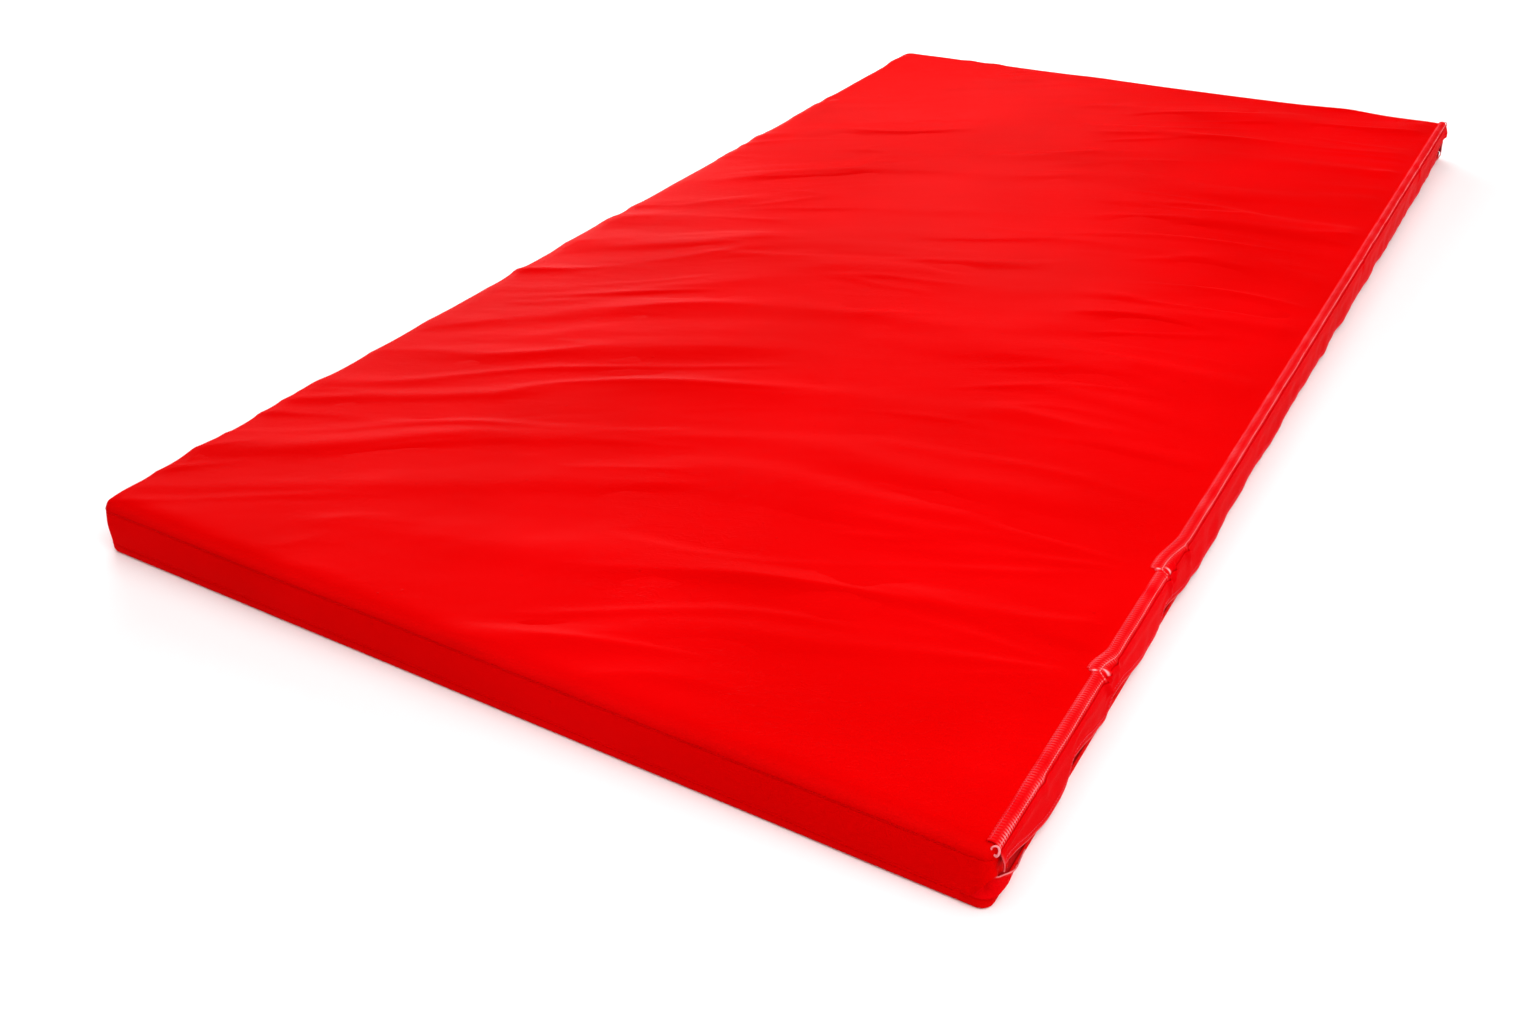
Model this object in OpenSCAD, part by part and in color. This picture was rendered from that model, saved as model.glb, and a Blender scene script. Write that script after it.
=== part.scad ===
// Crash landing mat: a two-layer foam slab in a boxed vinyl cover that is closed
// along one long side by a zip, under a loose flap.
// Millimetres. Z is up, Y runs along the mat and the zip side faces +X.
// The origin is the middle of the underside.

/* [Mat] */
// Length of the covered mat
mat_length = 2000; // [1600:10:2400]
// Width of the covered mat, out to the flap
mat_width = 1000; // [800:10:1500]
// Thickness of the soft base foam
base_foam_h = 50; // [50:1:60]
// Thickness of the firm foam layer glued on top
top_foam_h = 12; // [12:1:20]

/* [Cover] */
// Thickness of the coated cloth
cloth_t = 0.8; // [0.7:0.1:0.9]
// Outer radius of the front, rear and left top edges
top_edge_r = 12; // [9:1:12]
// Outer radius of the bottom edges
bottom_edge_r = 8; // [6:1:8]
// Outer radius of the upright corners
corner_r = 12; // [8:1:14]
// Height of the seam between the walls and the bottom panel
bottom_seam_z = 12; // [11:0.5:13]
// Length of the front and rear walls that is turned onto the long sides
wall_return = 22; // [16:1:30]
// Height of the folded corner gusset at the upright corner
gusset_h = 38; // [30:1:42]
// Length of the gusset along the zip side
gusset_run = 97; // [60:1:97]
// Length of the gusset along the short side
gusset_toe = 23; // [15:1:30]

/* [Flap] */
// Outer radius of the top edge above the zip
zip_edge_r = 6; // [5:0.5:6]
// Width of the doubled band stitched on top of the cover
band_w = 10; // [10:1:18]
// Height of the flap's lower edge above the floor
flap_low_z = 8; // [7:0.5:12]
// Height of the hem at the flap's lower edge
hem_h = 8; // [6:1:10]
// Gap between the closed flap and the cover
flap_gap = 0.4; // [0.4:0.05:0.5]

/* [Zip] */
// Length of the zip's coils
zip_length = 1800; // [1200:10:1800]
// Height of the zip's centre line
zip_z = 30; // [29.5:0.25:30.5]
// Depth of the zip's tape behind the side of the cover
zip_depth = 12; // [11.5:0.25:12.5]
// Thickness of the woven tape
tape_t = 0.6; // [0.5:0.05:0.6]
// Width of each tape beside its coil
tape_w = 12.5; // [11:0.5:13]
// Thickness of each coil
coil_t = 2.4; // [2:0.1:2.4]
// Width of each coil
coil_w = 2.6; // [2.4:0.1:2.6]
// Gap between the two coils
coil_gap = 1.2; // [1.1:0.1:1.4]
// Length of the slider
slider_l = 16; // [14:1:18]
// Width of the slider
slider_w = 10; // [9.8:0.1:10.4]
// Length of the pull tab from its pivot
tab_l = 24; // [18:1:24]
// Radius of the pull tab's pivot pin
pin_r = 0.8; // [0.7:0.05:0.9]

/* [Hidden] */
$fn = 64;

vinyl = [0.86, 0.02, 0.02];
vinyl_inside = [0.62, 0.03, 0.03];
thread = [0.93, 0.25, 0.25];

half_l = mat_length / 2;
half_w = mat_width / 2;
mat_h = base_foam_h + top_foam_h + 2 * cloth_t;
foam_split_z = cloth_t + base_foam_h;
reach = 10;

// The cover's zip side stands inside the flap, the gap and the band's cloth
side_x = half_w - 2 * cloth_t - flap_gap;
// The top panel's edge is sewn to the walls just below its curve
top_seam_z = mat_h - top_edge_r - 1.6;
thread_d = 0.6;
// The end walls' returns stop here on the long sides
return_y = half_l - corner_r - wall_return;

// Heights and depths of the sloping strips between the zip and the cover's edges
strip_edge_x = side_x - 1.5 * cloth_t;
zip_x = side_x - zip_depth;
strip_zip_x = zip_x + (tape_t + cloth_t) / 2;
strip_top = [strip_edge_x, mat_h - zip_edge_r - 0.1];
strip_upper_knee = [strip_edge_x, mat_h - zip_edge_r - 3.6];
strip_upper_turn = [strip_zip_x, zip_z + 15];
strip_upper_hem = [strip_zip_x, zip_z + 7.5];
strip_lower_hem = [strip_zip_x, zip_z - 7.5];
strip_lower_turn = [strip_zip_x, zip_z - 13];
strip_lower_knee = [strip_edge_x, bottom_seam_z - 1.5];
strip_bottom = [strip_edge_x, bottom_edge_r + 1];
strip_run = half_l - corner_r - 3;
// Room between the firm foam and the sloping upper strip
foam_clear = [-0.5, 0.6];
base_foam_x = zip_x - 3.5;

// The band follows the rounded edge, and the flap hangs just outside it
band_end_z = mat_h - zip_edge_r - 2.6;
band_run = half_l - 8;
flap_x = half_w - cloth_t / 2;
flap_top_z = mat_h - zip_edge_r - 1.1;

coil_edge = coil_gap / 2 + coil_w;
coil_end = zip_length / 2;
tape_end = coil_end + 25;
stop_l = 4.2;
stop_t = 3.4;
stop_gap = 0.3;

plate_t = 1.2;
plate_in = coil_t / 2 + 0.5;
plate_out = plate_in + plate_t;
flange_in = coil_edge + 0.6;
slider_y = coil_end - slider_l / 2 - 1;
pivot_x = zip_x + plate_out + 2.3;
pivot_y = slider_y + 3;
ear_r = 1.8;
ear_in = 2.6;
ear_out = 3.8;
eye_r = 1.7;
tab_t = 1.2;
running_gap = 0.05;

// How far up the rounded edge the band's outer row of stitches lies, from its side
outer_row_angle = 35;

// Waste outside a rounded corner whose point is the origin
module corner_waste(r) {
    difference() {
        translate([-1, -1])
            square(r + 1);
        translate([r, r])
            circle(r);
    }
}

// Rectangle with a radius of its own at each corner, anticlockwise from the low one
module round_box_2d(low, high, radii) {
    corners = [low, [high.x, low.y], high, [low.x, high.y]];
    difference() {
        translate(low)
            square(high - low);
        for (i = [0:3])
            if (radii[i] > 0)
                translate(corners[i])
                    rotate(90 * i)
                        corner_waste(radii[i]);
    }
}

// Extrudes an outline drawn in X and Z along the mat
module along_mat(y0, y1) {
    translate([0, y1, 0])
        rotate([90, 0, 0])
            linear_extrude(y1 - y0)
                children();
}

// Extrudes an outline drawn in Y and Z across the mat
module across_mat(x0, x1) {
    translate([x0, 0, 0])
        rotate([90, 0, 90])
            linear_extrude(x1 - x0)
                children();
}

// The mat's outer form, drawn in by the inset on every face
module mat_block(inset) {
    top_r = top_edge_r - inset;
    low_r = bottom_edge_r - inset;
    upright_r = corner_r - inset;
    intersection() {
        along_mat(-half_l, half_l)
            round_box_2d([-half_w + inset, inset], [side_x - inset, mat_h - inset],
                         [low_r, low_r, zip_edge_r - inset, top_r]);
        across_mat(-half_w, half_w)
            round_box_2d([-half_l + inset, inset], [half_l - inset, mat_h - inset],
                         [low_r, low_r, top_r, top_r]);
        linear_extrude(mat_h)
            round_box_2d([-half_w + inset, -half_l + inset], [side_x - inset, half_l - inset],
                         [upright_r, upright_r, upright_r, upright_r]);
    }
}

// The part of the mat's box between two heights and two places along Y
module slice(y0, y1, z0, z1) {
    translate([-half_w - reach, y0, z0])
        cube([mat_width + 2 * reach, y1 - y0, z1 - z0]);
}

// One thickness of cloth all round the mat
module cover_shell() {
    difference() {
        mat_block(0);
        mat_block(cloth_t);
    }
}

// A sheet of cloth seen end on, straight between its points
module cloth_path_2d(points) {
    for (p = points)
        translate(p)
            circle(d = cloth_t);
    for (i = [1:len(points) - 1]) {
        run = points[i] - points[i - 1];
        translate(points[i - 1])
            rotate(atan2(run.y, run.x))
                translate([0, -cloth_t / 2])
                    square([norm(run), cloth_t]);
    }
}

// A row of stitches along the mat, as one rod that lies on the cloth
module thread_rod(x, z, run) {
    color(thread)
        translate([x, -run, z])
            rotate([-90, 0, 0])
                cylinder(h = 2 * run, d = thread_d);
}

// Rows of stitches round the front, rear and left sides at one height
module thread_loop(z) {
    out = thread_d / 2;
    for (y = [-half_l - out, half_l + out])
        color(thread)
            translate([-half_w + corner_r, y, z])
                rotate([0, 90, 0])
                    cylinder(h = mat_width - 2 * corner_r - gusset_toe, d = thread_d);
    thread_rod(-half_w - out, z, half_l - corner_r);
}

module foam_base_slab() {
    color("gainsboro")
        intersection() {
            mat_block(cloth_t);
            slice(-half_l, half_l, 0, foam_split_z);
            translate([-half_w, -half_l, 0])
                cube([half_w + base_foam_x, mat_length, mat_h]);
        }
}

// The firm layer reaches over the zip, and its lower edge follows the sloping strip
module foam_top_layer() {
    color("slategray")
        difference() {
            intersection() {
                mat_block(cloth_t);
                slice(-half_l, half_l, foam_split_z, mat_h);
            }
            along_mat(-half_l, half_l)
                polygon([
                    strip_upper_turn + foam_clear, strip_upper_knee + foam_clear,
                    [strip_edge_x + foam_clear.x, mat_h], [half_w, mat_h],
                    [half_w, 0], [strip_zip_x, 0]
                ]);
        }
}

module cover_top_panel() {
    color(vinyl)
        intersection() {
            cover_shell();
            slice(-half_l, half_l, top_seam_z, mat_h);
        }
}

module cover_bottom_panel() {
    color(vinyl)
        intersection() {
            cover_shell();
            slice(-half_l, half_l, 0, bottom_seam_z);
        }
}

// Space of the folded gusset at the front zip corner
module gusset_space() {
    intersection() {
        along_mat(-half_l, half_l)
            polygon([[side_x - gusset_toe, 0], [side_x, gusset_h], [half_w, gusset_h], [half_w, 0]]);
        across_mat(0, half_w)
            polygon([[-half_l, 0], [-half_l, gusset_h], [-half_l + gusset_run, 0]]);
    }
}

module end_wall() {
    color(vinyl)
        difference() {
            intersection() {
                cover_shell();
                slice(-half_l, -return_y, bottom_seam_z, top_seam_z);
            }
            gusset_space();
        }
}

module corner_gusset() {
    color(vinyl_inside)
        intersection() {
            cover_shell();
            slice(-half_l, half_l, bottom_seam_z, top_seam_z);
            gusset_space();
        }
}

module cover_front_wall() {
    end_wall();
}

module cover_rear_wall() {
    mirror([0, 1, 0])
        end_wall();
}

module cover_left_wall() {
    color(vinyl)
        translate([-half_w, -return_y, bottom_seam_z])
            cube([cloth_t, 2 * return_y, top_seam_z - bottom_seam_z]);
}

module corner_gusset_front() {
    corner_gusset();
}

module corner_gusset_rear() {
    mirror([0, 1, 0])
        corner_gusset();
}

module zip_strip_upper() {
    color(vinyl_inside)
        along_mat(-strip_run, strip_run)
            cloth_path_2d([strip_top, strip_upper_knee, strip_upper_turn, strip_upper_hem]);
}

module zip_strip_lower() {
    color(vinyl_inside)
        along_mat(-strip_run, strip_run)
            cloth_path_2d([strip_lower_hem, strip_lower_turn, strip_lower_knee, strip_bottom]);
}

// The doubled edge that carries the flap, over the rounded edge above the zip
module flap_seam_band() {
    start_x = side_x - band_w;
    color(vinyl)
        along_mat(-band_run, band_run)
            difference() {
                round_box_2d([start_x, band_end_z], [side_x + cloth_t, mat_h + cloth_t],
                             [0, 0, zip_edge_r + cloth_t, 0]);
                round_box_2d([start_x - reach, band_end_z - reach], [side_x, mat_h],
                             [0, 0, zip_edge_r, 0]);
            }
}

module zip_flap() {
    color(vinyl)
        along_mat(-band_run, band_run)
            cloth_path_2d([[flap_x, flap_top_z], [flap_x, flap_low_z + cloth_t / 2]]);
}

module flap_hem() {
    hem_x = flap_x - cloth_t;
    color(vinyl)
        along_mat(-band_run, band_run)
            cloth_path_2d([
                [hem_x, flap_low_z + hem_h - cloth_t / 2],
                [hem_x, flap_low_z + cloth_t / 2]
            ]);
}

// One woven tape, from the coil's edge outwards; side is 1 above and -1 below
module zip_tape(side) {
    color([0.12, 0.12, 0.13])
        translate([zip_x - tape_t / 2, -tape_end, zip_z + (side > 0 ? coil_edge : -coil_edge - tape_w)])
            cube([tape_t, 2 * tape_end, tape_w]);
}

module zip_coil(side) {
    color([0.05, 0.05, 0.06])
        translate([zip_x - coil_t / 2, -coil_end, zip_z + (side > 0 ? coil_gap / 2 : -coil_edge)])
            cube([coil_t, 2 * coil_end, coil_w]);
}

module zip_tape_upper() {
    zip_tape(1);
}

module zip_tape_lower() {
    zip_tape(-1);
}

module zip_coil_upper() {
    zip_coil(1);
}

module zip_coil_lower() {
    zip_coil(-1);
}

module zip_bottom_stop() {
    color("silver")
        translate([zip_x - stop_t / 2, -coil_end - stop_gap - stop_l, zip_z - coil_edge])
            cube([stop_t, stop_l, 2 * coil_edge]);
}

module zip_top_stops() {
    color("silver")
        for (z = [zip_z - coil_edge, zip_z + coil_gap / 2])
            translate([zip_x - stop_t / 2, coil_end + stop_gap, z])
                cube([stop_t, stop_l, coil_w]);
}

// The shield shape of the slider's plates, its wide end towards +Y
module slider_outline() {
    nose = slider_l / 2;
    half = slider_w / 2;
    polygon([
        [-nose, -half + 0.6], [0.4 * nose, -half], [nose, -half + 1],
        [nose, half - 1], [0.4 * nose, half], [-nose, half - 0.6]
    ]);
}

// Two plates joined by a web that runs between the coils, with flanges over the tapes
module slider_plates() {
    for (side = [-1, 1]) {
        plate_x = side > 0 ? plate_in : -plate_out;
        flange_x = side > 0 ? tape_t / 2 + 0.4 : -plate_in;
        across_mat(plate_x, plate_x + plate_t)
            slider_outline();
        across_mat(flange_x, flange_x + plate_in - tape_t / 2 - 0.4)
            difference() {
                slider_outline();
                square([slider_l + 1, 2 * flange_in], center = true);
            }
    }
    translate([-plate_in, slider_l / 2 - 5, -0.4])
        cube([2 * plate_in, 5, 0.8]);
}

module slider_ears() {
    lug_h = pivot_x - zip_x - plate_out;
    for (z = [-ear_out, ear_in])
        translate([pivot_x - zip_x, pivot_y - slider_y, z])
            difference() {
                union() {
                    cylinder(h = ear_out - ear_in, r = ear_r);
                    translate([-lug_h, -ear_r, 0])
                        cube([lug_h, 2 * ear_r, ear_out - ear_in]);
                }
                translate([0, 0, -1])
                    cylinder(h = ear_out - ear_in + 2, r = pin_r);
            }
}

module zip_slider_body() {
    color("silver")
        translate([zip_x, slider_y, zip_z]) {
            slider_plates();
            slider_ears();
        }
}

module zip_tab_pin() {
    color("dimgray")
        translate([pivot_x, pivot_y, zip_z - ear_out])
            cylinder(h = 2 * ear_out, r = pin_r);
}

// A flat tab with an eye round the pin, lying back along the zip
module zip_pull_tab() {
    eye_w = ear_in - 0.4;
    color("silver")
        translate([pivot_x, pivot_y, zip_z])
            difference() {
                union() {
                    translate([0, 0, -eye_w])
                        cylinder(h = 2 * eye_w, r = eye_r);
                    across_mat(-tab_t / 2, tab_t / 2)
                        polygon([
                            [0, -eye_w], [0, eye_w], [-6, eye_w], [-9, 4], [-tab_l + 2, 4], [-tab_l, 2.4],
                            [-tab_l, -2.4], [-tab_l + 2, -4], [-9, -4], [-6, -eye_w]
                        ]);
                }
                translate([0, 0, -eye_w - 1])
                    cylinder(h = 2 * eye_w + 2, r = pin_r + running_gap);
            }
}

// The outer row lies on the rounded edge, the inner one near the band's edge
module flap_thread_outer() {
    lift = zip_edge_r + cloth_t + thread_d / 2;
    thread_rod(side_x - zip_edge_r + lift * cos(outer_row_angle),
               mat_h - zip_edge_r + lift * sin(outer_row_angle), band_run);
}

module flap_thread_inner() {
    thread_rod(side_x - band_w + 2, mat_h + cloth_t + thread_d / 2, band_run);
}

module flap_hem_thread() {
    thread_rod(half_w + thread_d / 2, flap_low_z + hem_h - 1.5, band_run);
}

module top_seam_thread() {
    thread_loop(top_seam_z + 1);
}

module bottom_seam_thread() {
    thread_loop(bottom_seam_z - 1.5);
}

module zip_thread_upper() {
    thread_rod(strip_zip_x + (cloth_t + thread_d) / 2, strip_upper_hem.y + 2, coil_end);
}

module zip_thread_lower() {
    thread_rod(strip_zip_x + (cloth_t + thread_d) / 2, strip_lower_hem.y - 2, coil_end);
}

foam_base_slab();
foam_top_layer();
cover_top_panel();
cover_bottom_panel();
cover_front_wall();
cover_rear_wall();
cover_left_wall();
corner_gusset_front();
corner_gusset_rear();
zip_strip_upper();
zip_strip_lower();
flap_seam_band();
zip_flap();
flap_hem();
zip_tape_upper();
zip_tape_lower();
zip_coil_upper();
zip_coil_lower();
zip_bottom_stop();
zip_top_stops();
zip_slider_body();
zip_tab_pin();
zip_pull_tab();
flap_thread_outer();
flap_thread_inner();
flap_hem_thread();
top_seam_thread();
bottom_seam_thread();
zip_thread_upper();
zip_thread_lower();
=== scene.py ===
"""Looks of a crash landing mat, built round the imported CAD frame. Metres, Z up, zip side at +X."""

import math

import bmesh
import bpy
import numpy as np
from mathutils import Matrix, Quaternion, Vector


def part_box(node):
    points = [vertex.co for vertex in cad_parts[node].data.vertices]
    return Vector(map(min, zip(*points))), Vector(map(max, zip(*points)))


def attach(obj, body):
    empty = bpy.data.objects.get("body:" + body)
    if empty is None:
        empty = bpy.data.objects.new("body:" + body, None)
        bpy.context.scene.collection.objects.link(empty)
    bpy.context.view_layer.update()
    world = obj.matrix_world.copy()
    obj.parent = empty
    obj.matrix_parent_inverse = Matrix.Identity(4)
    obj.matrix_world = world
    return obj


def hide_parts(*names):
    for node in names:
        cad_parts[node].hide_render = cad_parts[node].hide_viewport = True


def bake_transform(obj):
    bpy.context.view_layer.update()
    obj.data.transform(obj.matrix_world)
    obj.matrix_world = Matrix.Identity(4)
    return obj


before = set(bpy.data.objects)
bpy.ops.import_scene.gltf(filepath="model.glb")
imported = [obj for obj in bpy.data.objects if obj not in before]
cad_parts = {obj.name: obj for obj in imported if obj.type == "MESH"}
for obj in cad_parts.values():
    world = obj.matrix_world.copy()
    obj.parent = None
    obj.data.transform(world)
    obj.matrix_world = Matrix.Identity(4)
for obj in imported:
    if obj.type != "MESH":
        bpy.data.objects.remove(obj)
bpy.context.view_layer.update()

MM = 0.001

# ------------------------------------------------------------------ places, from the frame
TOP_LOW, TOP_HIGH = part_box("cover_top_panel")
WALL_LOW, WALL_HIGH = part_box("cover_front_wall")
BAND_LOW, BAND_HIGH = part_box("flap_seam_band")
FLAP_LOW, FLAP_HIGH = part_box("zip_flap")
HEM_LOW, HEM_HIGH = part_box("flap_hem")
GUSSET_LOW, GUSSET_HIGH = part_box("corner_gusset_front")
STRIP_UP_LOW, STRIP_UP_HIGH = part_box("zip_strip_upper")
STRIP_DOWN_LOW, STRIP_DOWN_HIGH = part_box("zip_strip_lower")
LEFT_X = TOP_LOW.x
SIDE_X = TOP_HIGH.x
HALF_L = TOP_HIGH.y
TOP_Z = TOP_HIGH.z
SEAM_Z = TOP_LOW.z
LOW_SEAM_Z = WALL_LOW.z
RETURN_Y = -WALL_HIGH.y
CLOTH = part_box("cover_left_wall")[1].x - LEFT_X
BAND_Y = BAND_HIGH.y
ZIP_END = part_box("zip_tape_upper")[1].y
ZIP_Z = 0.5 * (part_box("zip_tape_upper")[1].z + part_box("zip_tape_lower")[0].z)

# ------------------------------------------------------------------ sizes of the soft shapes
CORNER_R = 12 * MM
SHOULDER = 36 * MM
ZIP_EDGE_R = 6 * MM
BOTTOM_R = 3.5 * MM
TUCK = 0.25 * MM
LOW_TUCK = 0.06 * MM
FOAM_CORNER_R = 11 * MM
ZIP_MIDDLE = 30 * MM


# ------------------------------------------------------------------ small maths
def smooth(x):
    """Smooth step from 0 to 1 as x goes from 0 to 1."""
    x = np.clip(x, 0.0, 1.0)
    return x * x * (3 - 2 * x)


def bell(x, width):
    return np.exp(-((x / width) ** 2))


def unit(vectors):
    return vectors / np.linalg.norm(vectors, axis=-1, keepdims=True)


def run_along(points):
    """Distance along a line of points, from its first one."""
    return np.concatenate([[0], np.cumsum(np.linalg.norm(np.diff(points, axis=0), axis=1))])


def circles(heading, out, sides):
    """Points of a unit circle across the heading at each place of a thread."""
    heading = unit(heading)
    side = unit(np.cross(heading, out))
    up = np.cross(side, heading)
    turn = np.arange(sides)[:, None] * 2 * math.pi / sides
    return np.cos(turn) * side[..., None, :] + np.sin(turn) * up[..., None, :]


def lattice_noise(x, y, seed):
    """Gradient noise from about -1 to 1 on a unit lattice, the same on every run."""
    size = 128
    angle = np.random.default_rng(seed).uniform(0, 2 * math.pi, (size, size))
    x, y = np.asarray(x, float), np.asarray(y, float)
    cell_x, cell_y = np.floor(x).astype(int), np.floor(y).astype(int)
    part_x, part_y = x - cell_x, y - cell_y

    def corner(i, j):
        a = angle[(cell_x + i) % size, (cell_y + j) % size]
        return np.cos(a) * (part_x - i) + np.sin(a) * (part_y - j)

    fade_x, fade_y = smooth(part_x), smooth(part_y)
    low = corner(0, 0) + fade_x * (corner(1, 0) - corner(0, 0))
    high = corner(0, 1) + fade_x * (corner(1, 1) - corner(0, 1))
    return 1.6 * (low + fade_y * (high - low))


def spaced(start, stop, step):
    """Evenly spaced values from start to stop, about one step apart."""
    return np.linspace(start, stop, max(2, int(round(abs(stop - start) / step)) + 1))


# ------------------------------------------------------------------ how the cloth lies
# Where the cover is gathered: place along the mat, run back to the straight row, inward jog
GATHERS = ((-0.76, 35 * MM, 6.5 * MM), (-0.58, 60 * MM, 7.5 * MM))
# Long creases over the top: from, to, sideways bow, height
CREASES = (
    ((-0.36, -0.12), (0.40, 0.28), -0.045, 0.75 * MM),
    ((-0.47, -0.02), (-0.05, 0.36), 0.030, 0.60 * MM),
    ((-0.20, -0.62), (0.36, -0.38), 0.030, 0.40 * MM),
    ((-0.47, 0.30), (0.10, 0.62), -0.025, 0.50 * MM),
    ((0.05, 0.10), (0.45, 0.20), 0.020, 0.45 * MM),
    ((-0.47, -0.42), (-0.12, -0.22), 0.020, 0.55 * MM),
)
# Tension folds at each gather in the seam: direction across the mat, width as a slope, height
TENSION = (
    (-0.02, 0.055, 1.5 * MM),
    (0.17, 0.045, -0.9 * MM),
    (0.30, 0.060, 1.4 * MM),
    (0.52, 0.060, 1.0 * MM),
    (-0.22, 0.060, 0.8 * MM),
)


def crest_line(x, y):
    """Which fold a place is on: the folds run across the mat and swing round towards the left."""
    return y - 0.40 * x + 0.36 * x**2


def crease(x, y, start, stop, bow):
    """1 on the ridge of a bowed crease, falling off steeply on one side and slowly on the other."""
    run = np.array(stop) - np.array(start)
    length = math.hypot(*run)
    along = ((x - start[0]) * run[0] + (y - start[1]) * run[1]) / length**2
    off = ((y - start[1]) * run[0] - (x - start[0]) * run[1]) / length
    off = off - bow * 4 * along * (1 - along)
    ends = smooth(along / 0.25) * smooth((1 - along) / 0.35)
    return ends * np.where(off > 0, bell(off, 7 * MM), bell(off, 22 * MM))


def tension(x, y):
    """Folds that fan out over the top from the places where the seam is gathered."""
    total = 0.0 * x
    for place, _, _ in GATHERS:
        away = np.maximum(SIDE_X - x, 1 * MM)
        slope = (place - y) / away
        fade = smooth(away / 0.07) * np.exp(-away / 0.22)
        for aim, width, height in TENSION:
            total = total + height * fade * bell(slope - aim - 0.25 * away, width)
    return total


def top_rise(x, y):
    """Height of the slack cloth on top above a flat mat: rolls, folds, creases and hollows."""
    fold = crest_line(x, y)
    drift = 0.034 * lattice_noise(x / 0.26, fold / 0.26, 11)
    broad = lattice_noise(x / 0.40 + 5, (fold + drift) / 0.078, 12)
    rolls = lattice_noise(x / 0.22, (fold + drift) / 0.040, 13)
    ridge = 1 - np.abs(lattice_noise(x / 0.26 + 3, (fold + 0.8 * drift) / 0.060, 14)) * 2.6
    patch = smooth(0.5 + 1.2 * lattice_noise(x / 0.22, y / 0.22, 15))
    hollow = lattice_noise(x / 0.045, fold / 0.045, 16)
    rise = 2.0 * MM * broad + 0.8 * MM * rolls * (0.5 + 0.5 * patch)
    rise = rise + 0.95 * MM * np.clip(ridge, 0, 1) ** 1.5 * patch
    rise = rise + 0.12 * MM * hollow * (1 - 0.5 * patch)
    for start, stop, bow, height in CREASES:
        rise = rise + height * crease(x, y, start, stop, bow)
    toward_zip = 1.85 + 0.75 * smooth((x + 0.1) / 0.4)
    rise = toward_zip * rise + 1.5 * tension(x, y)
    return 0.5 * (rise + np.sqrt(rise**2 + (1.2 * MM) ** 2))


def side_swell(x, y, z):
    """How far the cloth round the sides stands out from the CAD form."""
    place = x + y
    mid = bell(z - 32 * MM, 15 * MM)
    wobble = lattice_noise(place / 0.17, z / 0.05 + 3, 21)
    ripple = lattice_noise(place / 0.035, z / 0.03 + 7, 22)
    height = smooth(z / (6 * MM))
    free = smooth((SIDE_X - 6 * MM - x) / (24 * MM))
    return free * height * (1.6 * MM * mid + 0.7 * MM * wobble + 0.16 * MM * ripple)


# ------------------------------------------------------------------ meshes
def mesh_object(name, points, faces, wear_and_highlight=None):
    mesh = bpy.data.meshes.new(name)
    mesh.from_pydata([tuple(p) for p in points], [], faces)
    mesh.validate()
    mesh.polygons.foreach_set("use_smooth", [True] * len(mesh.polygons))
    if wear_and_highlight is not None:
        mesh.attributes.new("wear_and_highlight", "FLOAT", "POINT").data.foreach_set("value", wear_and_highlight)
    piece = bpy.data.objects.new(name, mesh)
    bpy.context.scene.collection.objects.link(piece)
    return piece


def quads(rows, columns, wrap=False, start=0):
    """Faces of a grid of vertices, row by row. With wrap, the last column joins the first."""
    last = columns if wrap else columns - 1
    i, j = np.meshgrid(np.arange(rows - 1), np.arange(last), indexing="ij")
    a = start + i * columns + j
    b = start + i * columns + (j + 1) % columns
    return np.stack([a, b, b + columns, a + columns], -1).reshape(-1, 4).tolist()


def loft(name, rings, wear_and_highlight=None):
    """A closed body through rings of points, shape (rings, points, 3), with flat ends."""
    count, size = rings.shape[:2]
    faces = quads(count, size, wrap=True)
    faces.append(list(range(size))[::-1])
    faces.append(list(range((count - 1) * size, count * size)))
    values = None if wear_and_highlight is None else wear_and_highlight.reshape(-1)
    return mesh_object(name, rings.reshape(-1, 3), faces, values)


def grid_normals(grid):
    """Unit normals of a grid of points, from its rows and columns."""
    across = np.cross(np.gradient(grid, axis=0), np.gradient(grid, axis=1))
    return across / np.maximum(np.linalg.norm(across, axis=-1, keepdims=True), 1e-12)


def shell(name, outer, normals, thickness, step, wear_and_highlight):
    """A closed sheet: a fine outer side, a rim as thick as the cloth, and a plain inner side."""
    rows, columns = outer.shape[:2]
    inner = outer - normals * thickness
    index = np.arange(rows * columns).reshape(rows, columns)
    ring = np.concatenate([index[0, :-1], index[:-1, -1], index[-1, :0:-1], index[:0:-1, 0]])
    points = list(outer.reshape(-1, 3))
    values = list(wear_and_highlight.reshape(-1))
    inside = {}

    def inner_point(i, j):
        if (i, j) not in inside:
            inside[i, j] = len(points)
            points.append(inner[i, j])
            values.append(0.0)
        return inside[i, j]

    faces = quads(rows, columns)
    loop = [inner_point(k // columns, k % columns) for k in ring]
    for k in range(len(ring)):
        m = (k + 1) % len(ring)
        faces.append([int(ring[m]), int(ring[k]), loop[k], loop[m]])
    stops_i = sorted(set(range(0, rows - 1, step)) | {rows - 1})
    stops_j = sorted(set(range(0, columns - 1, step)) | {columns - 1})
    for i0, i1 in zip(stops_i, stops_i[1:]):
        for j0, j1 in zip(stops_j, stops_j[1:]):
            side_a = range(i0, i1) if j0 == 0 else [i0]
            side_b = range(j0, j1) if i1 == rows - 1 else [j0]
            side_c = range(i1, i0, -1) if j1 == columns - 1 else [i1]
            side_d = range(j1, j0, -1) if i0 == 0 else [j1]
            face = [inner_point(i, j0) for i in side_a]
            face += [inner_point(i1, j) for j in side_b]
            face += [inner_point(i, j1) for i in side_c]
            face += [inner_point(i0, j) for j in side_d]
            faces.append(face)
    return mesh_object(name, points, faces, np.array(values, np.float32))


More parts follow.
